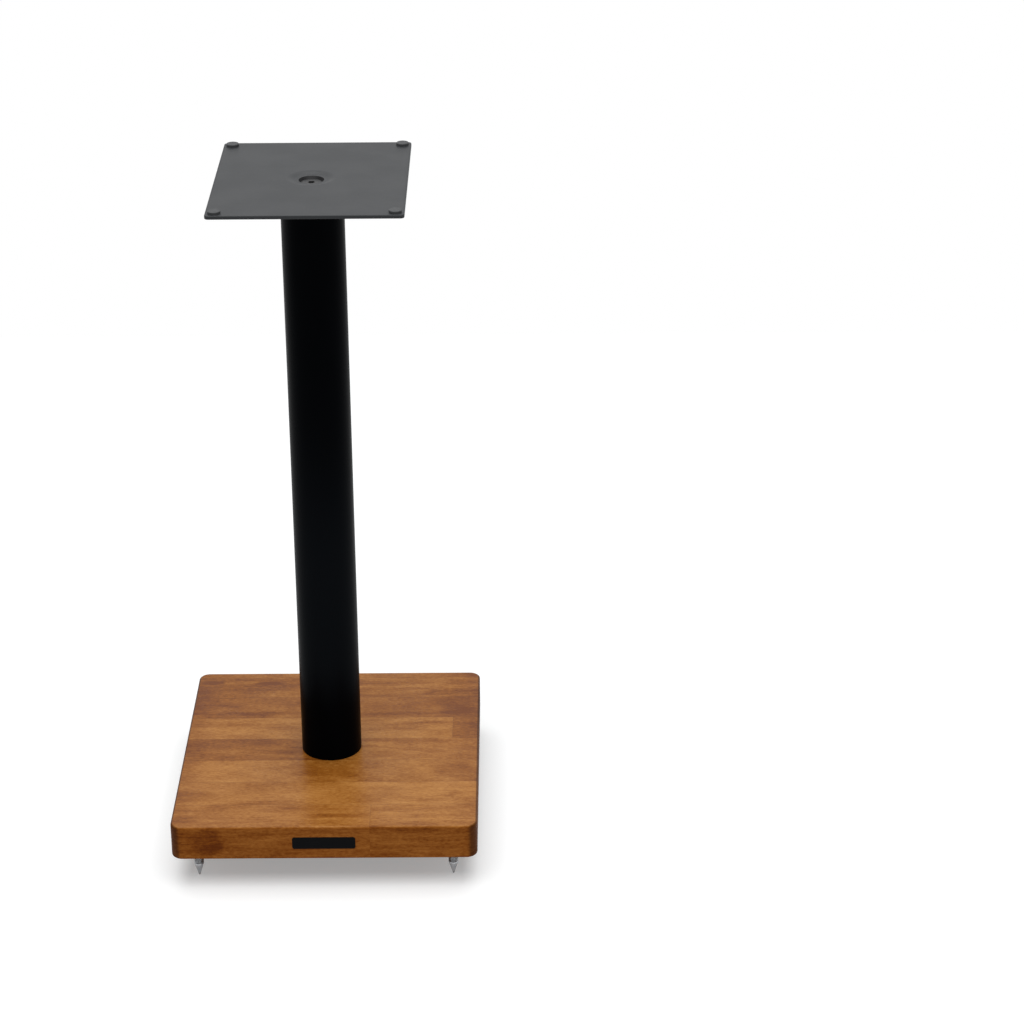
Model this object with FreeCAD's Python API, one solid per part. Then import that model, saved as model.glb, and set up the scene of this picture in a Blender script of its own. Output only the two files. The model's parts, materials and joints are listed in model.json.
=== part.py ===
import FreeCAD, Part
import math
import os

# Speaker stand: a round steel column bolted to a wooden base board that stands on four adjustable
# spikes. A steel top plate with four pads is held on the column by one countersunk screw, so it can
# be turned to face the listener.
#
# Millimetres. The origin is on the floor under the column's axis. Z is up, the front with the name
# plate faces -Y, and +X is the right-hand side as seen from the front.

# ---- base board, glued up from hardwood staves that run from left to right ----
board_width = 248.0
board_depth = 266.0
board_thickness = 30.0
board_corner_radius = 9.0       # the four upright corners
board_edge_radius = 2.0         # easing along the top and bottom edges
board_height_above_floor = 26.0

# ---- column: a round steel tube with a disc welded into each end ----
tube_diameter = 50.0
tube_wall = 2.0
tube_length = 500.0
tube_edge_break = 0.4           # outer edges are dulled after cutting
disc_weld_gap = 0.05            # radial gap that the weld closes
upper_disc_thickness = 10.0
lower_disc_thickness = 14.0
thread_gap = 0.02               # radial gap drawn between a thread and its nut, both held still
running_gap = 0.05              # gap at a surface that turns or slides on another piece

# ---- top plate: steel, with a shallow pressed dish at its centre ----
plate_width = 150.0
plate_depth = 180.0
plate_thickness = 3.0
plate_corner_radius = 3.0
plate_edge_radius = 0.6
dish_rim_diameter = 38.0
dish_floor_diameter = 22.0
dish_depth = 1.6
dish_to_disc_gap = 0.4          # lets the screw pull the plate down on the tube's rim
screw_seat_diameter = 20.0      # countersink in the dish, 90 degrees across

# ---- top screw: countersunk, with a hexagon socket ----
screw_diameter = 8.0
screw_head_diameter = 16.0
screw_length = 22.0             # from the top of the head to the tip
screw_socket_width = 5.0        # across flats
screw_socket_depth = 3.0
screw_head_relief = 0.3         # room around the head's cone in the disc below

# ---- pads under the loudspeaker ----
pad_diameter = 10.0
pad_height = 2.0
pad_edge_radius = 0.6
pad_inset = 7.0                 # pad centre from the plate's edges

# ---- bolt that holds the column on the board, up through a counterbore under the board ----
bolt_diameter = 10.0
bolt_length = 32.0              # under the head
bolt_head_diameter = 16.0
bolt_head_height = 10.0
bolt_socket_width = 8.0
bolt_socket_depth = 5.0
bolt_hole_play = 0.5            # radial
counterbore_depth = 16.0
counterbore_play = 1.0          # radial, round the flat washer
washer_diameter = 30.0
washer_thickness = 2.5
washer_hole_play = 0.25         # radial
spring_washer_width = 3.9       # radial width of its section
spring_washer_thickness = 2.2
spring_washer_hole_play = 0.1   # radial
spring_washer_split = 1.6
spring_washer_split_angle = 20.0

# ---- spikes, their threaded inserts in the board and their lock nuts ----
spike_diameter = 8.0
spike_inset = 20.0              # spike centre from the board's edges
spike_thread_in_board = 14.0    # length inside the board as drawn
spike_cone_length = 11.0
spike_tip_diameter = 1.0
insert_diameter = 12.0
insert_length = 20.0
insert_flange_diameter = 15.0
insert_flange_thickness = 1.5
insert_glue_gap = 0.05          # radial
insert_hole_spare_depth = 2.0
nut_width = 13.0                # across flats
nut_thickness = 4.0
nut_chamfer_angle = 30.0

# ---- name plate let into the board's front edge, left bare ----
badge_width = 51.0
badge_height = 10.5
badge_thickness = 1.0
badge_corner_radius = 1.8
badge_edge_radius = 0.25
badge_pocket_depth = 0.6
badge_pocket_play = 0.1         # round the plate's outline

# ---- small chamfer at the ends of threads and screw heads ----
thread_chamfer = 1.0
head_chamfer = 0.6

# ---- heights and radii that follow from the sizes above ----
board_bottom_z = board_height_above_floor
board_top_z = board_bottom_z + board_thickness
tube_top_z = board_top_z + tube_length
tube_radius = tube_diameter / 2
tube_bore_radius = tube_radius - tube_wall
disc_radius = tube_bore_radius - disc_weld_gap

plate_bottom_z = tube_top_z + running_gap
plate_top_z = plate_bottom_z + plate_thickness
dish_floor_z = plate_top_z - dish_depth
dish_underside_z = plate_bottom_z - dish_depth
upper_disc_top_z = dish_underside_z - dish_to_disc_gap

screw_radius = screw_diameter / 2
screw_head_radius = screw_head_diameter / 2
screw_seat_radius = screw_seat_diameter / 2
screw_head_top_z = dish_floor_z - (screw_seat_radius - screw_head_radius - running_gap)

counterbore_top_z = board_bottom_z + counterbore_depth
spring_washer_top_z = counterbore_top_z - washer_thickness
bolt_seat_z = spring_washer_top_z - spring_washer_thickness
counterbore_radius = washer_diameter / 2 + counterbore_play

spike_radius = spike_diameter / 2
spike_x = board_width / 2 - spike_inset
spike_y = board_depth / 2 - spike_inset
insert_bore_radius = spike_radius + running_gap
badge_centre_z = board_bottom_z + board_thickness / 2

up = FreeCAD.Vector(0, 0, 1)
full_turn = 360
hexagon_sides = 6
same_place = 0.001              # two heights or places nearer than this are the same

# the four corners that carry a pad or a spike: name, side along X, side along Y
corners = []
for end_name, y_side in (("front", -1), ("back", 1)):
    for side_name, x_side in (("left", -1), ("right", 1)):
        corners.append((end_name + "_" + side_name, x_side, y_side))


def cylinder(radius, height, base_z, x=0.0, y=0.0):
    return Part.makeCylinder(radius, height, FreeCAD.Vector(x, y, base_z), up)


def cone(base_radius, top_radius, height, base_z):
    return Part.makeCone(base_radius, top_radius, height, FreeCAD.Vector(0, 0, base_z), up)


def moved(shape, x, y, z):
    copy = shape.copy()
    copy.translate(FreeCAD.Vector(x, y, z))
    return copy


def hexagon_bar(across_flats, height, base_z):
    corner_radius = across_flats / math.sqrt(3)
    points = []
    for step in range(hexagon_sides + 1):
        angle = math.radians(full_turn / hexagon_sides * step)
        x = corner_radius * math.cos(angle)
        y = corner_radius * math.sin(angle)
        points.append(FreeCAD.Vector(x, y, base_z))
    outline = Part.Face(Part.makePolygon(points))
    return outline.extrude(FreeCAD.Vector(0, 0, height))


def turned(edges):
    """A solid turned about the Z axis from edges that close a section in the XZ plane."""
    section = Part.Face(Part.Wire(Part.sortEdges(edges)[0]))
    return section.revolve(FreeCAD.Vector(0, 0, 0), up, full_turn)


def section_edges(points):
    """Straight edges through (radius, height) points, closed back to the first."""
    ring = [FreeCAD.Vector(radius, 0, height) for radius, height in points]
    ring.append(ring[0])
    return [Part.makeLine(start, end) for start, end in zip(ring, ring[1:])]


def edges_at_height(shape, z):
    flat = []
    for edge in shape.Edges:
        box = edge.BoundBox
        if abs(box.ZMin - z) < same_place and abs(box.ZMax - z) < same_place:
            flat.append(edge)
    return flat


def upright_edges(shape):
    upright = []
    for edge in shape.Edges:
        box = edge.BoundBox
        if box.XLength < same_place and box.YLength < same_place:
            upright.append(edge)
    return upright


def rounded_slab(width, depth, thickness, base_z, corner_radius):
    """A flat slab centred on the Z axis with its four upright corners rounded."""
    corner = FreeCAD.Vector(-width / 2, -depth / 2, base_z)
    slab = Part.makeBox(width, depth, thickness, corner)
    return slab.makeFillet(corner_radius, upright_edges(slab))


def base_board():
    board = rounded_slab(board_width, board_depth, board_thickness, board_bottom_z, board_corner_radius)
    rims = edges_at_height(board, board_bottom_z) + edges_at_height(board, board_top_z)
    board = board.makeFillet(board_edge_radius, rims)
    bolt_hole = cylinder(bolt_diameter / 2 + bolt_hole_play, board_thickness, board_bottom_z)
    counterbore = cylinder(counterbore_radius, counterbore_depth, board_bottom_z)
    cuts = [bolt_hole, counterbore, badge_pocket()]
    for name, x_side, y_side in corners:
        cuts.append(moved(insert_outline(insert_glue_gap), x_side * spike_x, y_side * spike_y, 0))
        hole_radius = insert_diameter / 2 + insert_glue_gap
        hole_depth = insert_length + insert_hole_spare_depth
        cuts.append(cylinder(hole_radius, hole_depth, board_bottom_z, x_side * spike_x, y_side * spike_y))
    return board.cut(cuts)


def column_tube():
    tube = cylinder(tube_radius, tube_length, board_top_z)
    rims = edges_at_height(tube, board_top_z) + edges_at_height(tube, tube_top_z)
    tube = tube.makeChamfer(tube_edge_break, rims)
    return tube.cut(cylinder(tube_bore_radius, tube_length, board_top_z))


def column_upper_disc():
    base_z = upper_disc_top_z - upper_disc_thickness
    disc = cylinder(disc_radius, upper_disc_thickness, base_z)
    thread = cylinder(screw_radius + thread_gap, upper_disc_thickness, base_z)
    head_radius_here = screw_head_radius - (screw_head_top_z - upper_disc_top_z)
    mouth_radius = max(head_radius_here, screw_radius) + screw_head_relief
    mouth_depth = mouth_radius - screw_radius
    mouth = cone(screw_radius, mouth_radius, mouth_depth, upper_disc_top_z - mouth_depth)
    return disc.cut([thread, mouth])


def column_lower_disc():
    disc = cylinder(disc_radius, lower_disc_thickness, board_top_z)
    return disc.cut(cylinder(bolt_diameter / 2 + thread_gap, lower_disc_thickness, board_top_z))


def dish_edges(rim_z):
    """Two tangent arcs from the dish's rim down to its floor, in the XZ plane."""
    rim_radius = dish_rim_diameter / 2
    floor_radius = dish_floor_diameter / 2
    run = rim_radius - floor_radius
    bend_radius = (run ** 2 + dish_depth ** 2) / (4 * dish_depth)
    half_turn = math.asin(run / 2 / bend_radius) / 2
    across = bend_radius * math.sin(half_turn)
    drop = bend_radius * (1 - math.cos(half_turn))
    rim = FreeCAD.Vector(rim_radius, 0, rim_z)
    upper = FreeCAD.Vector(rim_radius - across, 0, rim_z - drop)
    middle = FreeCAD.Vector((rim_radius + floor_radius) / 2, 0, rim_z - dish_depth / 2)
    lower = FreeCAD.Vector(floor_radius + across, 0, rim_z - dish_depth + drop)
    floor = FreeCAD.Vector(floor_radius, 0, rim_z - dish_depth)
    return [Part.Arc(rim, upper, middle).toShape(), Part.Arc(middle, lower, floor).toShape()]


def top_plate():
    plate = rounded_slab(plate_width, plate_depth, plate_thickness, plate_bottom_z, plate_corner_radius)
    rims = edges_at_height(plate, plate_bottom_z) + edges_at_height(plate, plate_top_z)
    plate = plate.makeFillet(plate_edge_radius, rims)
    plate = plate.cut(cylinder(dish_rim_diameter / 2, plate_thickness, plate_bottom_z))
    rim_radius = dish_rim_diameter / 2
    floor_radius = dish_floor_diameter / 2
    rim_top = FreeCAD.Vector(rim_radius, 0, plate_top_z)
    rim_bottom = FreeCAD.Vector(rim_radius, 0, plate_bottom_z)
    floor_top = FreeCAD.Vector(floor_radius, 0, dish_floor_z)
    floor_bottom = FreeCAD.Vector(floor_radius, 0, dish_underside_z)
    axis_top = FreeCAD.Vector(0, 0, dish_floor_z)
    axis_bottom = FreeCAD.Vector(0, 0, dish_underside_z)
    edges = dish_edges(plate_top_z) + dish_edges(plate_bottom_z)
    edges.append(Part.makeLine(rim_top, rim_bottom))
    edges.append(Part.makeLine(floor_top, axis_top))
    edges.append(Part.makeLine(axis_top, axis_bottom))
    edges.append(Part.makeLine(axis_bottom, floor_bottom))
    plate = plate.fuse(turned(edges)).removeSplitter()
    seat_bottom_radius = screw_seat_radius - plate_thickness
    seat = cone(seat_bottom_radius, screw_seat_radius, plate_thickness, dish_underside_z)
    shank_hole = cylinder(screw_radius + running_gap, plate_thickness, dish_underside_z)
    return plate.cut([seat, shank_hole])


def top_plate_screw():
    tip_z = screw_head_top_z - screw_length
    neck_z = screw_head_top_z - (screw_head_radius - screw_radius)
    outline = [
        (0, screw_head_top_z),
        (screw_head_radius, screw_head_top_z),
        (screw_radius, neck_z),
        (screw_radius, tip_z + thread_chamfer),
        (screw_radius - thread_chamfer, tip_z),
        (0, tip_z),
    ]
    socket = hexagon_bar(screw_socket_width, screw_socket_depth, screw_head_top_z - screw_socket_depth)
    return turned(section_edges(outline)).cut(socket)


def speaker_pad(x_side, y_side):
    pad = cylinder(pad_diameter / 2, pad_height, plate_top_z)
    pad = pad.makeFillet(pad_edge_radius, edges_at_height(pad, plate_top_z + pad_height))
    return moved(pad, x_side * (plate_width / 2 - pad_inset), y_side * (plate_depth / 2 - pad_inset), 0)


def base_bolt():
    head_bottom_z = bolt_seat_z - bolt_head_height
    tip_z = bolt_seat_z + bolt_length
    bolt_radius = bolt_diameter / 2
    head_radius = bolt_head_diameter / 2
    outline = [
        (0, head_bottom_z),
        (head_radius - head_chamfer, head_bottom_z),
        (head_radius, head_bottom_z + head_chamfer),
        (head_radius, bolt_seat_z),
        (bolt_radius, bolt_seat_z),
        (bolt_radius, tip_z - thread_chamfer),
        (bolt_radius - thread_chamfer, tip_z),
        (0, tip_z),
    ]
    socket = hexagon_bar(bolt_socket_width, bolt_socket_depth, head_bottom_z)
    return turned(section_edges(outline)).cut(socket)


def base_bolt_washer():
    washer = cylinder(washer_diameter / 2, washer_thickness, spring_washer_top_z)
    hole_radius = bolt_diameter / 2 + washer_hole_play
    return washer.cut(cylinder(hole_radius, washer_thickness, spring_washer_top_z))


def base_bolt_spring_washer():
    bore_radius = bolt_diameter / 2 + spring_washer_hole_play
    rim_radius = bore_radius + spring_washer_width
    ring = cylinder(rim_radius, spring_washer_thickness, bolt_seat_z)
    bore = cylinder(bore_radius, spring_washer_thickness, bolt_seat_z)
    slot_height = spring_washer_thickness * 2    # tall enough to reach through when tilted
    middle_z = bolt_seat_z + spring_washer_thickness / 2
    slot_corner = FreeCAD.Vector(0, -spring_washer_split / 2, middle_z - slot_height / 2)
    slot = Part.makeBox(rim_radius * 2, spring_washer_split, slot_height, slot_corner)
    slot.rotate(FreeCAD.Vector(0, 0, middle_z), FreeCAD.Vector(1, 0, 0), spring_washer_split_angle)
    return ring.cut([bore, slot])


def insert_outline(gap):
    """The insert's outer shape on the Z axis, grown all round by a gap."""
    body = cylinder(insert_diameter / 2 + gap, insert_length, board_bottom_z)
    flange = cylinder(insert_flange_diameter / 2 + gap, insert_flange_thickness, board_bottom_z)
    return body.fuse(flange).removeSplitter()


def threaded_insert(x_side, y_side):
    insert = insert_outline(0).cut(cylinder(insert_bore_radius, insert_length, board_bottom_z))
    return moved(insert, x_side * spike_x, y_side * spike_y, 0)


def spike_lock_nut(x_side, y_side):
    top_z = board_bottom_z - running_gap
    base_z = top_z - nut_thickness
    hexagon = hexagon_bar(nut_width, nut_thickness, base_z)
    corner_radius = nut_width / math.sqrt(3)
    face_radius = nut_width / 2
    chamfer_height = (corner_radius - face_radius) * math.tan(math.radians(nut_chamfer_angle))
    outline = [
        (0, base_z),
        (face_radius, base_z),
        (corner_radius, base_z + chamfer_height),
        (corner_radius, top_z - chamfer_height),
        (face_radius, top_z),
        (0, top_z),
    ]
    nut = hexagon.common(turned(section_edges(outline)))
    nut = nut.cut(cylinder(spike_radius + running_gap, nut_thickness, base_z))
    return moved(nut, x_side * spike_x, y_side * spike_y, 0)


def floor_spike(x_side, y_side):
    top_z = board_bottom_z + spike_thread_in_board
    outline = [
        (0, 0),
        (spike_tip_diameter / 2, 0),
        (spike_radius, spike_cone_length),
        (spike_radius, top_z - thread_chamfer),
        (spike_radius - thread_chamfer, top_z),
        (0, top_z),
    ]
    return moved(turned(section_edges(outline)), x_side * spike_x, y_side * spike_y, 0)


def badge_slab(thickness, gap):
    """A flat plate with rounded corners that stands upright in the board's front face.

    Its back lies on the floor of the pocket, and its thickness runs towards the front.
    """
    width = badge_width + 2 * gap
    height = badge_height + 2 * gap
    slab = rounded_slab(width, height, thickness, 0, badge_corner_radius + gap)
    slab.rotate(FreeCAD.Vector(0, 0, 0), FreeCAD.Vector(1, 0, 0), 90)
    pocket_floor_y = -board_depth / 2 + badge_pocket_depth
    return moved(slab, 0, pocket_floor_y, badge_centre_z)


def badge_pocket():
    return badge_slab(badge_pocket_depth, badge_pocket_play)


def badge_plate():
    plate = badge_slab(badge_thickness, 0)
    face_y = -board_depth / 2 + badge_pocket_depth - badge_thickness
    rim = [edge for edge in plate.Edges if abs(edge.BoundBox.YMax - face_y) < same_place]
    return plate.makeFillet(badge_edge_radius, rim)


def save(shape, name):
    shape.exportStep("parts/" + name + ".step")
    print(name, "valid" if shape.isValid() else "NOT VALID", len(shape.Solids), "solid")


os.makedirs("parts", exist_ok=True)

save(base_board(), "base_board")
save(column_tube(), "column_tube")
save(column_upper_disc(), "column_upper_disc")
save(column_lower_disc(), "column_lower_disc")
save(base_bolt(), "base_bolt")
save(base_bolt_washer(), "base_bolt_washer")
save(base_bolt_spring_washer(), "base_bolt_spring_washer")
save(badge_plate(), "badge_plate")
save(top_plate(), "top_plate")
save(top_plate_screw(), "top_plate_screw")

for corner_name, x_side, y_side in corners:
    save(speaker_pad(x_side, y_side), "speaker_pad_" + corner_name)
    save(threaded_insert(x_side, y_side), "threaded_insert_" + corner_name)
    save(spike_lock_nut(x_side, y_side), "spike_lock_nut_" + corner_name)
    save(floor_spike(x_side, y_side), "floor_spike_" + corner_name)
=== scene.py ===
import json
import math

import bmesh
import bpy
from mathutils import Matrix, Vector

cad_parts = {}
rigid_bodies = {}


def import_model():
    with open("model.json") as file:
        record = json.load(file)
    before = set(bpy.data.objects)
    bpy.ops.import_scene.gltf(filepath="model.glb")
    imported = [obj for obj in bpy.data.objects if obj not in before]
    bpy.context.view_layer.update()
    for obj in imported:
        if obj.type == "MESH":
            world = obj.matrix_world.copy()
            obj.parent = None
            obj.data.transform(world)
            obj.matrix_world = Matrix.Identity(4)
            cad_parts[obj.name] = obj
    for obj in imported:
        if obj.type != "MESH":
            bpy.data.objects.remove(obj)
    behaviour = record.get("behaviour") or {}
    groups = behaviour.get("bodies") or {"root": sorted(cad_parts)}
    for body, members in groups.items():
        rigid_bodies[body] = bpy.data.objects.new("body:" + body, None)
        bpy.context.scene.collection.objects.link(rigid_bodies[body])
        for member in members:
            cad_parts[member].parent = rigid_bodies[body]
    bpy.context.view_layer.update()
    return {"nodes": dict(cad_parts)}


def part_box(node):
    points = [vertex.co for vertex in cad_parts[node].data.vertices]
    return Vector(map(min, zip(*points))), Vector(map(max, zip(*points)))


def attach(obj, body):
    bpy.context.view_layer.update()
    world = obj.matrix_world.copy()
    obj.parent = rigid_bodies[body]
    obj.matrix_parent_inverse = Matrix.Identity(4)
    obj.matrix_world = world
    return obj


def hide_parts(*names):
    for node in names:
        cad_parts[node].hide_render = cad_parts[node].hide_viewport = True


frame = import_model()


# ---- Base board ----
# A 30 mm board glued up from hardwood staves that run from left to right, some of them made of two
# lengths butted end to end. It is stained warm brown, lacquered to a soft gloss and eased along its
# edges. Its counterbore, insert holes and name plate pocket are already cut in the CAD solid.

class Value:
    """One socket in a tree of nodes. Arithmetic on it adds the Math nodes."""

    def __init__(self, nodes, socket):
        self.nodes = nodes
        self.socket = socket

    def math(self, operation, *others):
        return self.nodes.node("ShaderNodeMath", {"operation": operation}, dict(enumerate((self, *others))))

    def __add__(self, other):
        return self.math("ADD", other)

    def __sub__(self, other):
        return self.math("SUBTRACT", other)

    def __mul__(self, other):
        return self.math("MULTIPLY", other)

    def __truediv__(self, other):
        return self.math("DIVIDE", other)

    def __gt__(self, other):
        return self.math("GREATER_THAN", other)

    def __rsub__(self, other):
        return self * -1 + other

    __radd__ = __add__

    def fade(self, start, end, low=0.0, high=1.0):
        """low up to start, high from end on, and a smooth change between them."""
        return self.nodes.node(
            "ShaderNodeMapRange",
            {"interpolation_type": "SMOOTHSTEP"},
            {0: self, 1: start, 2: end, 3: low, 4: high},
        )

    def outputs(self):
        return [Value(self.nodes, socket) for socket in self.socket.node.outputs]


class Nodes:
    """The nodes of one finish or one shape."""

    def __init__(self, tree):
        self.tree = tree

    def node(self, kind, settings=None, sockets=None, out=0):
        """Adds a node, makes its settings, then fills its sockets with values or links."""
        made = self.tree.nodes.new(kind)
        for setting, value in (settings or {}).items():
            if setting == "stops":
                self.set_stops(made.color_ramp.elements, value)
            elif setting == "steps":
                made.color_ramp.interpolation = value
            else:
                setattr(made, setting, value)
        for name, value in (sockets or {}).items():
            if isinstance(value, Value):
                self.tree.links.new(value.socket, made.inputs[name])
            else:
                made.inputs[name].default_value = value
        return Value(self, made.outputs[out]) if made.outputs else made

    def set_stops(self, elements, stops):
        while len(elements) < len(stops):
            elements.new(1.0)
        for element, (position, colour) in zip(elements, stops):
            element.position = position
            element.color = (*colour, 1.0)


class Finish(Nodes):
    """A surface finish: one material and the nodes that make its colour, gloss and texture."""

    def __init__(self, name):
        self.material = bpy.data.materials.new(name)
        self.material.use_nodes = True
        super().__init__(self.material.node_tree)
        self.tree.nodes.clear()
        # output 3 is the place in the piece's own coordinates, in metres
        self.place = self.node("ShaderNodeTexCoord").outputs()[3]
        self.x, self.y, self.z = self.node("ShaderNodeSeparateXYZ", {}, {0: self.place}).outputs()

    def point(self, x, y, z):
        return self.node("ShaderNodeCombineXYZ", {}, {0: x, 1: y, 2: z})

    def noise(self, place, scale=1.0, detail=2.0, roughness=0.5):
        sockets = {"Vector": place, "Scale": scale, "Detail": detail, "Roughness": roughness}
        return self.node("ShaderNodeTexNoise", {}, sockets)

    def ramp(self, position, stops, steps="LINEAR"):
        return self.node("ShaderNodeValToRGB", {"stops": stops, "steps": steps}, {0: position})

    def blend(self, share, first, second, how="MIX"):
        """The first colour, going over to the second as share goes from 0 to 1."""
        # sockets 0, 6 and 7 are the share and the two colours, and output 2 is the mixed colour
        return self.node(
            "ShaderNodeMix",
            {"data_type": "RGBA", "blend_type": how, "clamp_factor": True},
            {0: share, 6: first, 7: second},
            out=2,
        )

    def facing(self):
        """The outward direction of the surface, as x, y and z."""
        # output 1 is the normal
        normal = self.node("ShaderNodeNewGeometry").outputs()[1]
        return self.node("ShaderNodeSeparateXYZ", {}, {0: normal}).outputs()

    def from_axis(self):
        """How far the surface is from the column's axis."""
        return (self.x.math("POWER", 2.0) + self.y.math("POWER", 2.0)).math("SQRT")

    def bumps(self, height, depth, strength=1.0):
        return self.node("ShaderNodeBump", {}, {"Height": height, "Distance": depth, "Strength": strength})

    def finish(self, **sockets):
        """Ends the nodes with the surface shader. Underscores in names stand for spaces."""
        sockets = {name.replace("_", " "): value for name, value in sockets.items()}
        surface = self.node("ShaderNodeBsdfPrincipled", {}, sockets)
        self.node("ShaderNodeOutputMaterial", {}, {0: surface})

    def coat(self, *nodes):
        """Gives this finish to CAD pieces."""
        for name in nodes:
            for slot in frame["nodes"][name].material_slots:
                slot.material = self.material


def grey(value):
    return (value, value, value)


board_low, board_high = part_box("base_board")
board_half_width = board_high.x
stave_width = 0.0368
stave_count = 8
# a little of the front stave was sawn off when the board was cut to size
front_joint_y = board_low.y - 0.0012
# from the front stave to the back one: how light the left length is, how light the right one is,
# and where along the stave the two meet, 0 at the left end of the board and 1 at the right end.
# 1.2 is past the end: such a stave is one length
staves = [
    (0.44, 0.49, 0.65),
    (0.52, 0.52, 1.20),
    (0.465, 0.465, 1.20),
    (0.245, 0.51, 0.51),
    (0.53, 0.30, 0.91),
    (0.29, 0.29, 1.20),
    (0.34, 0.34, 1.20),
    (0.33, 0.33, 1.20),
]

wood = Finish("stained_hardwood")
row = ((wood.y - front_joint_y) / stave_width).math("FLOOR")
row_share = (row + 0.5) / stave_count


def by_stave(column):
    stops = [(number / stave_count, grey(stave[column])) for number, stave in enumerate(staves)]
    return wood.ramp(row_share, stops, "CONSTANT")


left_tone, right_tone, joint_share = by_stave(0), by_stave(1), by_stave(2)
past_joint = wood.x - (joint_share * 2 - 1) * board_half_width
is_right = past_joint > 0
piece = row * 2 + is_right
facing_x, _, facing_z = wood.facing()
on_top = facing_z.fade(0.3, 0.9)
tone = left_tone + (right_tone - left_tone) * is_right * on_top

# each length was sawn from its own place in a log, so its growth rings have their own centre, up to
# 55 mm to either side of the stave's middle and 20 to 120 mm below the floor that the stand is on
heart_spread = 0.11
least_heart_depth = 0.02
heart_depth_spread = 0.1
ring_wander = 0.011
draw = wood.node("ShaderNodeTexWhiteNoise", {"noise_dimensions": "1D"}, {"W": piece + 0.5}, out=1)
draw_y, draw_z, draw_x = wood.node("ShaderNodeSeparateXYZ", {}, {0: draw}).outputs()
heart_y = front_joint_y + (row + 0.5) * stave_width + (draw_y - 0.5) * heart_spread
heart_z = -least_heart_depth - draw_z * heart_depth_spread
wander = wood.noise(wood.point(wood.x * 6 + draw_x * 40, wood.y * 9, wood.z * 9), detail=2.0) - 0.5
across = (wood.y - heart_y).math("POWER", 2.0)
ring = (across + (wood.z - heart_z).math("POWER", 2.0)).math("SQRT") + wander * ring_wander


def growth(length, width, detail=2.0, roughness=0.5):
    """Noise that follows the growth rings: about length long and width wide, in metres."""
    layer = draw_x * 50 + length * 900
    return wood.noise(wood.point(wood.x / length + layer, ring / width, piece * 5.3), 1.0, detail, roughness)


def fibre(length, width, detail=2.0, roughness=0.5):
    """Noise that follows the straight run of the fibres, of a length and width in metres."""
    place = wood.point(wood.x / length + draw_x * 50, wood.y / width, wood.z / width)
    return wood.noise(place, 1.0, detail, roughness)


bands = growth(0.190, 0.013) - 0.5
streaks = growth(0.050, 0.0028, 3.0, 0.6) - 0.5
vein_path = growth(0.150, 0.010) - 0.5
veins = vein_path.math("ABSOLUTE").fade(0.0, 0.035, 1.0, 0.0)
vein_strength = growth(0.060, 0.006).fade(0.5, 0.66)
figure = fibre(0.022, 0.009, 3.0) - 0.5
fibres = fibre(0.0042, 0.0016, 3.0, 0.7) - 0.5
fleck = fibre(0.0065, 0.0012, 1.0).fade(0.69, 0.75)

# the grain frays the edges of the knot, of the streaks and of the painted shade
frayed = figure * 1.6


def squared(value):
    return value * value


# a small knot shows in the front edge, near its left end
knot_x, knot_y, knot_z = -0.095, -0.133, 0.0415
knot_half_length, knot_half_width, knot_half_height = 0.013, 0.009, 0.014
knot_span = (
    squared((wood.x - knot_x) / knot_half_length)
    + squared((wood.y - knot_y) / knot_half_width)
    + squared((wood.z - knot_z) / knot_half_height)
)
knot = (knot_span + frayed).fade(0.1, 1.5, 1.0, 0.0)

# dark streaks of mineral and curl in the wood, and one patch of painted shade and reflection of the column
# in front of its foot: where on the top, half their length and width in metres, and how much darker. They
# bend a little with the veins
mark_bend = 0.008
streak_and_shade_places = [
    (-0.111, 0.1150, 0.011, 0.0036, 0.38),
    (-0.062, 0.1140, 0.013, 0.0036, 0.36),
    (-0.078, 0.0580, 0.058, 0.0038, 0.20),
    (0.060, 0.0570, 0.042, 0.0034, 0.14),
    (0.107, 0.0620, 0.018, 0.0110, 0.16),
    (0.113, 0.0388, 0.012, 0.0040, 0.13),
    (0.066, 0.0085, 0.046, 0.0040, 0.20),
    (-0.113, -0.1175, 0.012, 0.0040, 0.12),
    (0.006, -0.1155, 0.026, 0.0036, 0.14),
    # painted shade and reflection of the column on the lacquer, in front of the column's foot
    (0.004, -0.0380, 0.038, 0.0240, 0.22),
    (0.103, -0.0388, 0.024, 0.0085, 0.12),
    (0.111, -0.1010, 0.016, 0.0050, 0.15),
]
streaks_and_painted_shade = 0.0
for mark_x, mark_y, half_length, half_width, depth in streak_and_shade_places:
    along = (wood.x - mark_x) / half_length
    aside = (wood.y - mark_y + vein_path * mark_bend) / half_width
    mark_span = squared(along) + squared(aside) + frayed
    streaks_and_painted_shade = mark_span.fade(0.0, 1.5, depth, 0.0) + streaks_and_painted_shade

# stain drawn in through the end grain darkens the last centimetres of every stave
stain_creep = 0.028
near_end = wood.x.math("ABSOLUTE").fade(board_half_width - stain_creep, board_half_width - 0.002)

lightness = (
    tone + bands * 0.6 + streaks * 0.75 + figure * 0.4 + fibres * 1.0
    - veins * vein_strength * 0.2 - fleck * 0.15 - knot * 0.30 - streaks_and_painted_shade - near_end * 0.14
)
stain = wood.ramp(
    lightness,
    [
        (0.00, (0.145, 0.038, 0.0030)),
        (0.30, (0.252, 0.085, 0.0095)),
        (0.60, (0.378, 0.158, 0.0335)),
        (1.00, (0.520, 0.250, 0.0680)),
    ],
)
redder = wood.blend(draw_y * 0.2, stain, (1.0, 0.90, 0.82, 1.0), "MULTIPLY")

# the sawn edges take more stain than the sanded top, and end grain goes nearly black-brown; the same
# darkening starts early on the rounded front corners, where it is painted shade
edged = wood.blend(1 - on_top, redder, (0.88, 0.72, 0.53, 1.0), "MULTIPLY")
end_grain_and_corner_shade = facing_x.math("ABSOLUTE").fade(0.05, 0.5)
soaked_and_shaded = wood.blend(end_grain_and_corner_shade, edged, (0.38, 0.36, 0.40, 1.0), "MULTIPLY")

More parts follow.
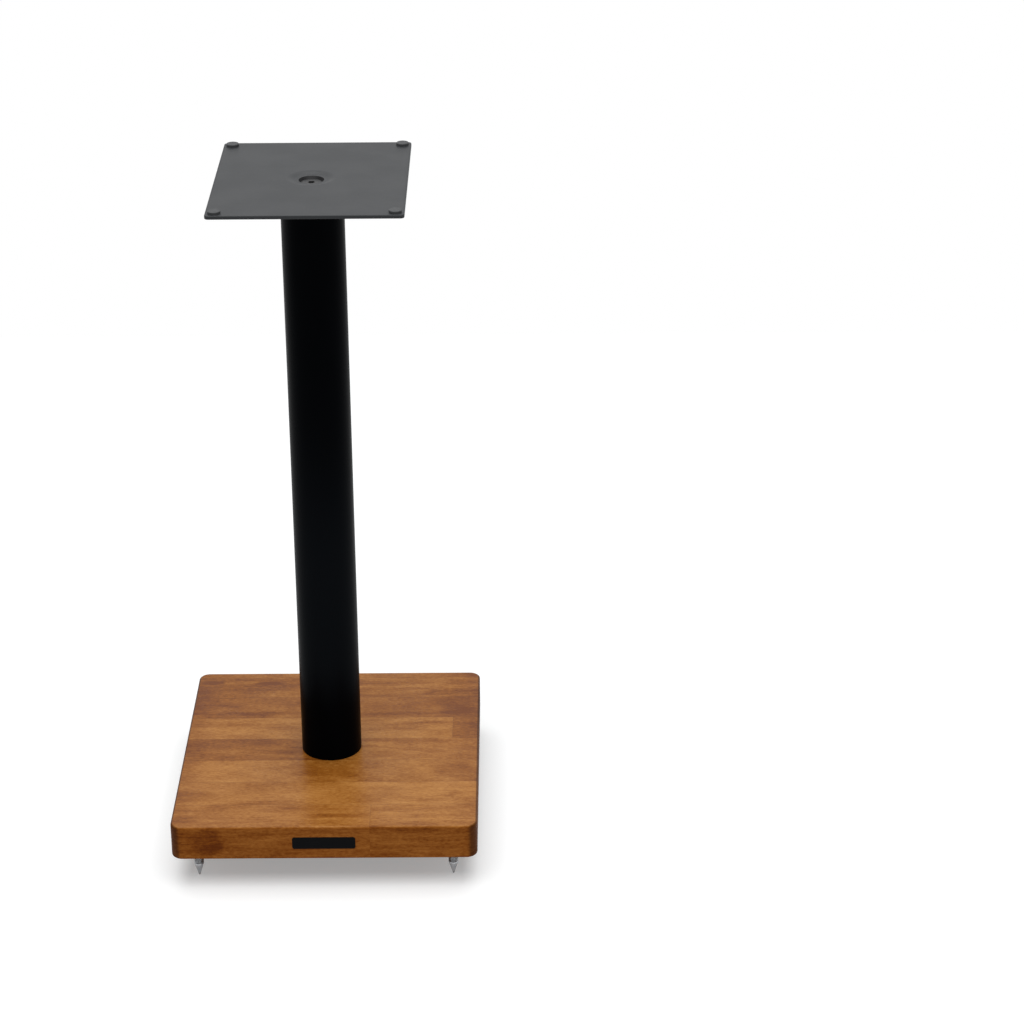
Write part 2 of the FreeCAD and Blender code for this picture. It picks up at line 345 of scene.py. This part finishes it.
# fine dark line where two lengths are glued
seam_width = 0.0005
from_row_edge = ((wood.y - front_joint_y) / stave_width - row - 0.5).math("ABSOLUTE")
glue_line = (from_row_edge * stave_width).fade(stave_width / 2 - seam_width, stave_width / 2)
butt_line = past_joint.math("ABSOLUTE").fade(0.0, seam_width, 1.0, 0.0) * on_top
seam = glue_line.math("MAXIMUM", butt_line)
seamed = wood.blend(seam * 0.35, soaked_and_shaded, (0.10, 0.035, 0.010, 1.0))

pores = fibre(0.0035, 0.00035, 1.0).fade(0.62, 0.72)
relief = fibres * 0.5 - pores * 0.9 - seam * 0.8 + streaks * 0.4
wiped = wood.noise(wood.place, 22.0, 3.0)
# the lacquer is built up and rubbed down on the top, and thin elsewhere
lacquer = facing_z.fade(0.7, 0.99, 0.04, 0.35)
wood.finish(
    Base_Color=seamed,
    Roughness=wiped.fade(0.3, 0.7, 0.42, 0.52) + pores * 0.12 + end_grain_and_corner_shade * 0.1,
    Specular_IOR_Level=0.04,
    Coat_Weight=lacquer,
    Coat_Roughness=wiped.fade(0.3, 0.7, 0.26, 0.36),
    Normal=wood.bumps(relief, 0.00005, 0.5),
)
wood.coat("base_board")


# ---- Threaded inserts ----
# Zinc plated steel bushes with a flange, glued and pressed into the board's underside. The spikes
# screw into them.

corners = ("front_left", "front_right", "back_left", "back_right")

zinc = Finish("zinc_plated_steel")
crystals = zinc.node(
    "ShaderNodeTexVoronoi", {"feature": "SMOOTH_F1"}, {"Vector": zinc.place, "Scale": 900.0}, out=1
)
crystal_tone, crystal_turn, _ = zinc.node("ShaderNodeSeparateXYZ", {}, {0: crystals}).outputs()
dull = zinc.noise(zinc.place, 160.0, 4.0, 0.6)
tinted = zinc.ramp(
    dull, [(0.3, (0.60, 0.61, 0.63)), (0.52, (0.68, 0.69, 0.70)), (0.72, (0.66, 0.64, 0.56))]
)
rubbed = zinc.noise(zinc.point(zinc.x * 400, zinc.y * 400, zinc.z * 5200), detail=3.0)
zinc.finish(
    Base_Color=zinc.blend(crystal_tone * 0.25, tinted, (0.45, 0.46, 0.47, 1.0)),
    Metallic=1.0,
    Roughness=dull.fade(0.35, 0.7, 0.3, 0.46),
    Normal=zinc.bumps(rubbed + crystal_turn * 0.3, 0.00003, 0.5),
)
zinc.coat(*("threaded_insert_" + name for name in corners))


# ---- Name plate ----
# A thin aluminium plate with rounded corners, brushed from left to right and anodised black, set in
# its pocket on the board's front edge. It is bare.

badge = Finish("black_anodised_plate")
brushed = badge.noise(badge.point(badge.x * 60, badge.y * 900, badge.z * 9000), detail=3.0)
badge.finish(
    Base_Color=badge.ramp(brushed, [(0.3, (0.002, 0.002, 0.0025)), (0.75, (0.007, 0.007, 0.0075))]),
    Roughness=brushed.fade(0.3, 0.7, 0.3, 0.45),
    Specular_IOR_Level=0.035,
    Normal=badge.bumps(brushed, 0.00002, 0.4),
)
badge.coat("badge_plate")


# ---- Column ----
# A round steel tube, powder coated in a smooth near-black satin, with a bare steel disc welded into
# each end. The coat shows a faint orange peel.

column = Finish("black_column_coat")
peel = column.noise(column.place, 420.0, 2.0)
flow = column.noise(column.point(column.x * 30, column.y * 30, column.z * 6), detail=2.0)
jet = column.ramp(flow, [(0.3, (0.0005, 0.0007, 0.0011)), (0.7, (0.0010, 0.0012, 0.0018))])
# a painted sheen, standing in for the reflection of the lit floor, greys the coat from just above the board
# to half the column's height
painted_sheen = column.z.fade(0.100, 0.150) * column.z.fade(0.220, 0.380, 1.0, 0.0)
column.finish(
    Base_Color=column.blend(painted_sheen, jet, (0.0036, 0.0044, 0.0056, 1.0)),
    Roughness=flow.fade(0.3, 0.7, 0.27, 0.36),
    Specular_IOR_Level=0.013,
    Specular_Tint=(0.86, 0.94, 1.0, 1.0),
    Normal=column.bumps(peel, 0.00004, 0.5),
)
column.coat("column_tube")

turned_steel = Finish("turned_steel")
turned_radius = turned_steel.from_axis()
tool_marks = (turned_radius * 9000).math("SINE") * 0.5 + turned_steel.noise(turned_steel.place, 700.0)
# the welds at the rim left it dark
welded_radius = 0.023
heat = turned_radius.fade(0.014, welded_radius)
turned_steel.finish(
    Base_Color=turned_steel.blend(heat * 0.6, (0.50, 0.50, 0.51, 1.0), (0.20, 0.17, 0.16, 1.0)),
    Metallic=1.0,
    Roughness=tool_marks.fade(0.0, 1.4, 0.28, 0.42),
    Normal=turned_steel.bumps(tool_marks, 0.00003, 0.5),
)
turned_steel.coat("column_upper_disc", "column_lower_disc")


# ---- Base bolt and its washers ----
# A zinc plated socket bolt holds the column on the board. Its head sits in the counterbore under
# the board, on a split spring washer and a flat washer.

zinc.coat("base_bolt", "base_bolt_washer", "base_bolt_spring_washer")


# ---- Top plate ----
# A 3 mm steel plate with a shallow pressed dish at its centre, powder coated in a fine-textured
# satin black that looks dark grey under a bright sky.

plate = Finish("textured_plate_coat")
fine_lumps = plate.noise(plate.place, 1500.0, 3.0, 0.6)
soft_lumps = plate.noise(plate.place, 260.0, 2.0)
settled = plate.noise(plate.place, 30.0, 3.0)
# the coat draws thin over the plate's edges
plate_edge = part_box("top_plate")[1]
rim_width = 0.002
side_rims = plate.x.math("ABSOLUTE").fade(plate_edge.x - rim_width, plate_edge.x - rim_width / 10)
end_rims = plate.y.math("ABSOLUTE").fade(plate_edge.y - rim_width, plate_edge.y - rim_width / 10)
rim = side_rims.math("MAXIMUM", end_rims)
# the countersink is painted dark as shade, and its coat is thin there
sink_radius = 0.010
painted_countersink_shade = plate.from_axis().fade(sink_radius - 0.0002, sink_radius + 0.0001, 1.0, 0.0)
coated = plate.ramp(fine_lumps, [(0.3, (0.0090, 0.0103, 0.0122)), (0.75, (0.0170, 0.0190, 0.0215))])
plate.finish(
    Base_Color=plate.blend(painted_countersink_shade, coated, (0.003, 0.003, 0.0035, 1.0)),
    Roughness=0.6,
    Specular_IOR_Level=0.0,
    Coat_Weight=settled.fade(0.3, 0.7, 0.775, 0.845) * (1 - rim * 0.15) * (1 - painted_countersink_shade * 0.65),
    Coat_Roughness=0.46,
    Normal=plate.bumps(fine_lumps + soft_lumps * 0.15, 0.00005, 0.5),
)
plate.coat("top_plate")


# ---- Top screw ----
# A black oxide countersunk screw with a hexagon socket. It clamps the plate on the column's top
# disc. The oxide is rubbed a little brighter on the head.

oxide = Finish("black_oxide_steel")
rubbed_spots = oxide.noise(oxide.place, 900.0, 3.0)
oxide.finish(
    Base_Color=oxide.ramp(rubbed_spots, [(0.35, (0.008, 0.008, 0.009)), (0.7, (0.026, 0.026, 0.027))]),
    Roughness=rubbed_spots.fade(0.3, 0.7, 0.34, 0.5),
    Specular_IOR_Level=0.38,
    Normal=oxide.bumps(rubbed_spots, 0.00003, 0.4),
)
oxide.coat("top_plate_screw")


# ---- Speaker pads ----
# Four small moulded rubber feet stuck on the plate's corners. Dust lies on their flat tops.

rubber = Finish("pad_rubber")
facing_up = rubber.facing()[2]
dust = rubber.noise(rubber.place, 700.0, 4.0, 0.65).fade(0.42, 0.7) * facing_up.fade(0.6, 0.98)
skin = rubber.noise(rubber.place, 2200.0, 2.0)
rubber.finish(
    Base_Color=rubber.blend(dust * 0.7, (0.058, 0.060, 0.062, 1.0), (0.098, 0.100, 0.103, 1.0)),
    Roughness=0.62 + dust * 0.2,
    Specular_IOR_Level=0.2,
    Normal=rubber.bumps(skin, 0.00004, 0.5),
)
rubber.coat(*("speaker_pad_" + name for name in corners))


# ---- Lock nuts ----
# Thin zinc plated hexagon nuts that hold each spike's height setting against the board.

zinc.coat(*("spike_lock_nut_" + name for name in corners))


# ---- Floor spikes ----
# Turned steel spikes, bright nickel plated: a rolled thread above and a cone below that ends in a
# small flat. Each screws up and down through its nut and insert.

spike_radius = 0.004
cone_height = 0.011
tip_radius = 0.0005

nickel = Finish("bright_nickel")
handled = nickel.noise(nickel.place, 240.0, 4.0, 0.6)
lathe_rings = nickel.noise(nickel.point(nickel.x * 90, nickel.y * 90, nickel.z * 6500), detail=2.0)
worn_height = 0.0035
worn_tip = nickel.z.fade(0.0005, worn_height, 1.0, 0.0)
# painted shade greys the thread, which lies in the shade of the board
thread_shade_mask = nickel.z.fade(cone_height - 0.0005, cone_height + 0.0015)
plated = nickel.ramp(handled, [(0.35, (0.39, 0.40, 0.42)), (0.7, (0.50, 0.50, 0.51))])
painted_thread_shade = nickel.blend(thread_shade_mask * 0.75, plated, (0.24, 0.25, 0.26, 1.0))
nickel.finish(
    Base_Color=nickel.blend(worn_tip * 0.6, painted_thread_shade, (0.24, 0.23, 0.22, 1.0)),
    Metallic=1.0,
    Roughness=handled.fade(0.3, 0.7, 0.16, 0.28) + worn_tip * 0.15,
    Normal=nickel.bumps(lathe_rings, 0.00002, 0.4),
)


class Shape(Nodes):
    """A Geometry Nodes tree with named inputs, which makes one piece."""

    def __init__(self, name, inputs):
        tree = bpy.data.node_groups.new(name, "GeometryNodeTree")
        super().__init__(tree)
        self.name = name
        self.ids = {}
        for label, kind in inputs.items():
            made = tree.interface.new_socket(name=label, in_out="INPUT", socket_type="NodeSocket" + kind)
            self.ids[label] = made.identifier
        tree.interface.new_socket(name="Geometry", in_out="OUTPUT", socket_type="NodeSocketGeometry")
        sockets = tree.nodes.new("NodeGroupInput").outputs
        self.inputs = {label: Value(self, sockets[label]) for label in inputs}

    def close(self, geometry, finish):
        real = self.node("GeometryNodeRealizeInstances", {}, {0: geometry})
        painted = self.node("GeometryNodeSetMaterial", {}, {0: real, "Material": finish.material})
        self.node("NodeGroupOutput", {}, {0: painted})

    def make(self, name, sizes):
        """Runs the tree with these sizes and returns the piece as a plain mesh object."""
        bench = bpy.data.objects.new("bench", bpy.data.meshes.new("bench"))
        bpy.context.scene.collection.objects.link(bench)
        modifier = bench.modifiers.new(self.name, "NODES")
        modifier.node_group = self.tree
        for label, size in sizes.items():
            modifier[self.ids[label]] = size
        ready = bench.evaluated_get(bpy.context.evaluated_depsgraph_get())
        mesh = bpy.data.meshes.new_from_object(ready)
        bench.modifiers.remove(modifier)
        bpy.data.objects.remove(bench)
        mesh.name = name
        piece = bpy.data.objects.new(name, mesh)
        bpy.context.scene.collection.objects.link(piece)
        return piece


def tidy_surface(piece, crease_degrees):
    """Closes seams and poles, points the faces outwards, and smooths all but the sharp edges."""
    work = bmesh.new()
    work.from_mesh(piece.data)
    bmesh.ops.remove_doubles(work, verts=work.verts, dist=1e-6)
    bmesh.ops.dissolve_degenerate(work, edges=work.edges, dist=1e-7)
    bmesh.ops.recalc_face_normals(work, faces=work.faces)
    work.to_mesh(piece.data)
    work.free()
    piece.data.shade_smooth()
    piece.data.set_sharp_from_angle(angle=math.radians(crease_degrees))


threaded_spike = Shape(
    "threaded_spike",
    {
        "Radius": "Float",
        "Thread Depth": "Float",
        "Pitch": "Float",
        "Cone Height": "Float",
        "Tip Radius": "Float",
        "Length": "Float",
        "End Chamfer": "Float",
        "Segments": "Int",
        "Rings": "Int",
        "Place": "Vector",
    },
)
size = threaded_spike.inputs
sheet = threaded_spike.node(
    "GeometryNodeMeshGrid",
    {},
    {"Size X": 2 * math.pi, "Size Y": 1.0, "Vertices X": size["Segments"] + 1, "Vertices Y": size["Rings"]},
)
flat_place = threaded_spike.node("GeometryNodeInputPosition")
angle, share, _ = threaded_spike.node("ShaderNodeSeparateXYZ", {}, {0: flat_place}).outputs()
ring_number = ((share + 0.5) * (size["Rings"] - 1)).math("ROUND")
height = ((ring_number - 1) / (size["Rings"] - 3)).math("MAXIMUM", 0.0).math("MINIMUM", 1.0) * size["Length"]
turn_phase = (height / size["Pitch"] - angle / (2 * math.pi)).math("FRACT")
groove = 1 - (turn_phase - 0.5).math("ABSOLUTE") * 2
run_in = (height - size["Cone Height"]) / size["Pitch"]
# rounded crests and roots, and a first turn that starts shallow
thread = groove.fade(0.12, 0.9) * run_in.fade(0.0, 1.2) * size["Thread Depth"]
cone_share = (height / size["Cone Height"]).math("MINIMUM", 1.0)
cone_radius = size["Tip Radius"] + (size["Radius"] - size["Tip Radius"]) * cone_share
from_top = size["Length"] - height
chamfer = (size["End Chamfer"] - from_top).math("MAXIMUM", 0.0)
closed = (ring_number > 0.5) * (size["Rings"] - 1.5 - ring_number > 0)
radius = (cone_radius - thread).math("MINIMUM", size["Radius"] - chamfer) * closed
rolled_place = threaded_spike.node(
    "ShaderNodeCombineXYZ", {}, {0: angle.math("COSINE") * radius, 1: angle.math("SINE") * radius, 2: height}
)
rolled = threaded_spike.node("GeometryNodeSetPosition", {}, {0: sheet, "Position": rolled_place})
placed = threaded_spike.node("GeometryNodeTransform", {}, {0: rolled, "Translation": size["Place"]})
threaded_spike.close(placed, nickel)

for name in corners:
    low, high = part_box("floor_spike_" + name)
    spike = threaded_spike.make(
        "threaded_spike_" + name,
        {
            "Radius": spike_radius,
            "Thread Depth": 0.0006,
            "Pitch": 0.00125,
            "Cone Height": cone_height,
            "Tip Radius": tip_radius,
            "Length": high.z - low.z,
            "End Chamfer": 0.001,
            "Segments": 40,
            "Rings": 290,
            "Place": ((low.x + high.x) / 2, (low.y + high.y) / 2, low.z),
        },
    )
    tidy_surface(spike, crease_degrees=40)
    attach(spike, "spike_" + name)
    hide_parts("floor_spike_" + name)


# ---- Studio ----
# A plain white floor and backdrop, a large soft lamp overhead and even light all round. The camera
# stands where the photograph was taken from.

scene = bpy.context.scene
scene.view_settings.view_transform = "Standard"


def seen_directly(nodes):
    """1 for what the camera sees, also by way of a gloss or through glass, and 0 for soft light."""
    rays = nodes.node("ShaderNodeLightPath").outputs()
    from_camera, from_gloss, through_glass = rays[0], rays[3], rays[6]
    return from_camera.math("MAXIMUM", from_gloss).math("MAXIMUM", through_glass)


world = bpy.data.worlds.new("white_studio")
world.use_nodes = True
world.node_tree.nodes.clear()
sky = Nodes(world.node_tree)
light = sky.node("ShaderNodeBackground", {}, {"Color": (1.0, 1.0, 1.0, 1.0), "Strength": 0.25})
backdrop = sky.node("ShaderNodeBackground", {}, {"Color": (1.0, 1.0, 1.0, 1.0), "Strength": 1.0})
both = sky.node("ShaderNodeMixShader", {}, {0: seen_directly(sky), 1: light, 2: backdrop})
sky.node("ShaderNodeOutputWorld", {}, {0: both})
scene.world = world

studio_floor = Finish("white_floor")
soft_grey = studio_floor.node("ShaderNodeBsdfDiffuse", {}, {"Color": (0.6, 0.6, 0.6, 1.0)})
white = studio_floor.node("ShaderNodeBsdfDiffuse", {}, {"Color": (0.73, 0.73, 0.73, 1.0)})
glow = studio_floor.node("ShaderNodeEmission", {}, {"Color": (0.96, 0.99, 1.0, 1.0), "Strength": 0.30})
shown = studio_floor.node("ShaderNodeAddShader", {}, {0: white, 1: glow})
floor_mix = studio_floor.node(
    "ShaderNodeMixShader", {}, {0: seen_directly(studio_floor), 1: soft_grey, 2: shown}
)
studio_floor.node("ShaderNodeOutputMaterial", {}, {0: floor_mix})

floor_reach = 1.1
floor_mesh = bpy.data.meshes.new("studio_floor")
floor_mesh.from_pydata(
    [(x * floor_reach, y * floor_reach, 0.0) for x, y in ((-1, -1), (1, -1), (1, 1), (-1, 1))],
    [],
    [(0, 1, 2, 3)],
)
floor_mesh.materials.append(studio_floor.material)
floor = bpy.data.objects.new("studio_floor", floor_mesh)
scene.collection.objects.link(floor)

lamp = bpy.data.objects.new("overhead_lamp", bpy.data.lights.new("overhead_lamp", "AREA"))
lamp.data.shape = "RECTANGLE"
lamp.data.size = 3.6
lamp.data.size_y = 5.0
lamp.data.energy = 180.0
lamp.location = (0.0, -0.55, 3.6)
lamp.visible_camera = False
scene.collection.objects.link(lamp)

# the camera's place in metres, and its turn to the left, look down and roll in radians
camera_place = (0.15775, -2.17654, 1.2736)
camera_turn = 0.00187
camera_drop = 0.43095
camera_roll = -0.00714
camera = bpy.data.objects.new("camera", bpy.data.cameras.new("camera"))
camera.data.lens = 103.286
camera.data.sensor_width = 36.0
camera.matrix_world = (
    Matrix.Translation(camera_place)
    @ Matrix.Rotation(camera_turn, 4, "Z")
    @ Matrix.Rotation(math.pi / 2 - camera_drop, 4, "X")
    @ Matrix.Rotation(camera_roll, 4, "Z")
)
scene.collection.objects.link(camera)
scene.camera = camera
